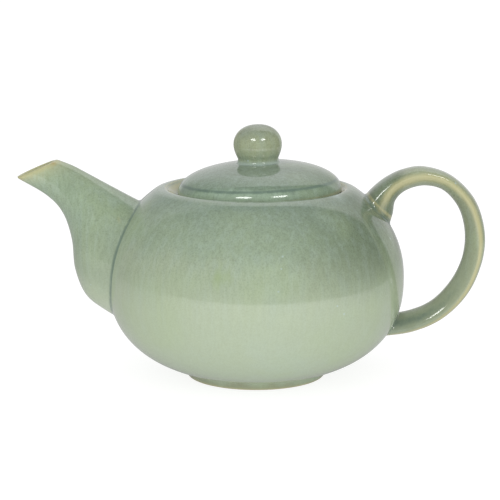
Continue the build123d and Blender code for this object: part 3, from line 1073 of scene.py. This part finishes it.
# What the glaze mirrors: a white backdrop behind the pot, a lit oval of floor in front, and a dark room.
FLOOR_SIDE = 0.53  # the lit oval's half width and front depth, in metres from the pot's axis
FLOOR_FRONT = 0.41
BACKDROP_LEFT = 0.52  # the backdrop's side edges, as the share of a level direction away from the camera
BACKDROP_RIGHT = 0.62
BACKDROP_TOP = 0.25  # its top edge, as the same share of any direction
LIT = 1.15  # brightness of the lit floor in front
ROOM = 0.09  # brightness of the dark room

SEEN_FLOOR = 0.84  # the floor's own glow, as the camera sees it
SEEN_ROOM = colour(1.1, 1.1, 1.1)
FLOOR_HALF = 6.0

LAMP_ELEVATION = math.radians(37)
LAMP_BRIGHTNESS = 13  # over each lamp's whole oval, whatever its size
LAMP_DISTANCE = 1.3
LAMP_AIM = Vector((0, 0, 0.10))

CAMERA_PLACE = Vector((0, -0.9654, 0.2555))
CAMERA_AIM = Vector((-0.0032, 0.0017, 0.0678))
CAMERA_LENS = 131.0


def past_backdrop_edge(n, across, away):
    """How far inside the backdrop's side edges a direction points, from its shares across and away."""
    return n.maths("SUBTRACT", away, n.ease(across, -0.3, 0.3, BACKDROP_LEFT, BACKDROP_RIGHT))


def make_floor():
    """A wide white sheet that glows a little, so that the pot's shadow stays faint.

    The light that it throws up is strongest in front of the pot and weakest under its far side.
    """
    corners = [(-FLOOR_HALF, -FLOOR_HALF, 0), (FLOOR_HALF, -FLOOR_HALF, 0)]
    corners += [(FLOOR_HALF, FLOOR_HALF, 0), (-FLOOR_HALF, FLOOR_HALF, 0)]
    mesh = bpy.data.meshes.new("floor")
    mesh.from_pydata(corners, [], [(0, 1, 2, 3)])
    floor = add_object("floor", mesh)
    material = bpy.data.materials.new("floor_paper")
    n = Nodes(material)
    where = n.add("ShaderNodeTexCoord").outputs["Object"]
    reach = n.add("ShaderNodeVectorMath", {0: where}, operation="LENGTH").outputs["Value"]
    parts = n.add("ShaderNodeSeparateXYZ", {0: where}).outputs

    # As the glaze mirrors it: bright in front and to the right, darker close under the pot.
    side = n.maths("DIVIDE", parts["X"], FLOOR_SIDE)
    front = n.maths("DIVIDE", n.maths("MINIMUM", parts["Y"], 0.0), FLOOR_FRONT)
    in_oval = n.ease(n.length(side, front), 0.97, 1.05, 1.0, 0.0)
    across = n.maths("DIVIDE", parts["X"], reach)
    away = n.maths("DIVIDE", parts["Y"], reach)
    lit = n.maths("MAXIMUM", in_oval, n.ease(past_backdrop_edge(n, across, away), -0.06, 0.02))
    brightness = n.ease(parts["Y"], -0.32, 0.05, LIT, LIT * 0.42)
    brightness = n.times(brightness, n.ease(parts["X"], -0.45, -0.1, 0.4))
    mirrored = n.plus(ROOM, n.times(lit, brightness))
    under_pot = n.ease(reach, 0.03, 0.10, 0.55, 1.0)
    as_mirrored = n.add("ShaderNodeEmission", {"Color": mirrored, "Strength": under_pot}).outputs[0]

    # As the camera and the soft light see it.
    rays = n.add("ShaderNodeLightPath").outputs
    thrown = n.ease(parts["Y"], -0.16, 0.08, 1.06, 0.30)
    thrown = n.plus(thrown, n.ease(parts["Y"], 0.10, 0.25, 0.0, 0.6))
    strength = n.mix_values(rays["Is Camera Ray"], thrown, SEEN_FLOOR)
    glow = n.add("ShaderNodeEmission", {"Color": colour(1, 1, 1), "Strength": strength}).outputs[0]
    paper = n.add("ShaderNodeBsdfDiffuse", {"Color": colour(0.30, 0.30, 0.30)}).outputs[0]
    as_seen = n.add("ShaderNodeAddShader", {0: glow, 1: paper}).outputs[0]
    values = {0: rays["Is Glossy Ray"], 1: as_seen, 2: as_mirrored}
    surface = n.add("ShaderNodeMixShader", values).outputs[0]
    n.add("ShaderNodeOutputMaterial", {"Surface": surface})
    mesh.materials.append(material)
    floor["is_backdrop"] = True


def make_room():
    """Soft light, strongest in front, weakest at the sides, and brighter again behind and overhead."""
    world = bpy.data.worlds.new("room")
    bpy.context.scene.world = world
    n = Nodes(world)
    direction = n.add("ShaderNodeTexCoord").outputs["Generated"]
    parts = n.add("ShaderNodeSeparateXYZ", {0: direction}).outputs

    # As the glaze mirrors it: the backdrop, brighter to the right and overhead.
    away = n.maths("DIVIDE", parts["Y"], n.length(parts["X"], parts["Y"]))
    inside = n.ease(past_backdrop_edge(n, parts["X"], away), -0.03, 0.03)
    below = n.ease(parts["Y"], BACKDROP_TOP - 0.04, BACKDROP_TOP + 0.04)
    by_side = n.ease(parts["X"], -0.8, 0.8, LIT * 0.20, LIT * 0.54)
    low = n.ease(away, 0.80, 0.98, by_side, LIT * 0.60)
    high = n.ease(parts["X"], -0.55, 0.05, LIT * 0.38, LIT * 1.08)
    brightness = n.ease(parts["Z"], 0.40, 0.82, low, high)
    mirrored = n.plus(ROOM, n.times(n.times(inside, below), brightness))

    # The soft light itself.
    around = n.ease(parts["Y"], -0.98, 0.2, 1.46, 0.32)
    around = n.plus(around, n.ease(parts["Y"], 0.4, 0.95, 0.0, 0.75))
    soft = n.maths("MAXIMUM", around, n.ease(parts["Z"], 0.5, 1.0, 0.0, 0.95))
    rays = n.add("ShaderNodeLightPath").outputs
    light = n.mix(rays["Is Glossy Ray"], soft, mirrored)
    light = n.mix(rays["Is Camera Ray"], light, SEEN_ROOM)
    background = n.add("ShaderNodeBackground", {"Color": light, "Strength": 1.0}).outputs[0]
    n.add("ShaderNodeOutputWorld", {"Surface": background})


def make_lamp(name, azimuth, width):
    """An oval lamp, seen only as a glint on three pieces. The azimuth runs from the camera towards +X."""
    turn = math.radians(azimuth)
    level = math.cos(LAMP_ELEVATION)
    away = Vector((math.sin(turn) * level, -math.cos(turn) * level, math.sin(LAMP_ELEVATION)))
    light = bpy.data.lights.new(name, "AREA")
    light.shape = "ELLIPSE"
    light.size = width
    light.size_y = width / 2
    light.energy = LAMP_BRIGHTNESS * math.pi * math.pi * width * width / 8
    lamp = add_object(name, light)
    lamp.location = LAMP_AIM + away * LAMP_DISTANCE
    lamp.rotation_euler = (-away).to_track_quat("-Z", "Y").to_euler()
    lamp.visible_diffuse = False
    glinting = bpy.data.collections.new(name + "_on")
    for piece in ("lid_dome", "knob_ball", "handle_loop"):
        glinting.objects.link(bpy.data.objects[piece])
    lamp.light_linking.receiver_collection = glinting


def make_camera():
    """A long lens a little above the pot, square to its side."""
    camera = add_object("camera", bpy.data.cameras.new("camera"))
    camera.data.lens = CAMERA_LENS
    camera.location = CAMERA_PLACE
    camera.rotation_euler = (CAMERA_AIM - camera.location).to_track_quat("-Z", "Y").to_euler()
    bpy.context.scene.camera = camera


finish_pieces()
make_floor()
make_room()
make_lamp("left_lamp", -26, 0.50)
make_lamp("right_lamp", 31, 0.46)
make_camera()
bpy.context.scene.view_settings.view_transform = "Standard"
[[list(corner) for corner in box] for box in (frame_bounds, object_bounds())]
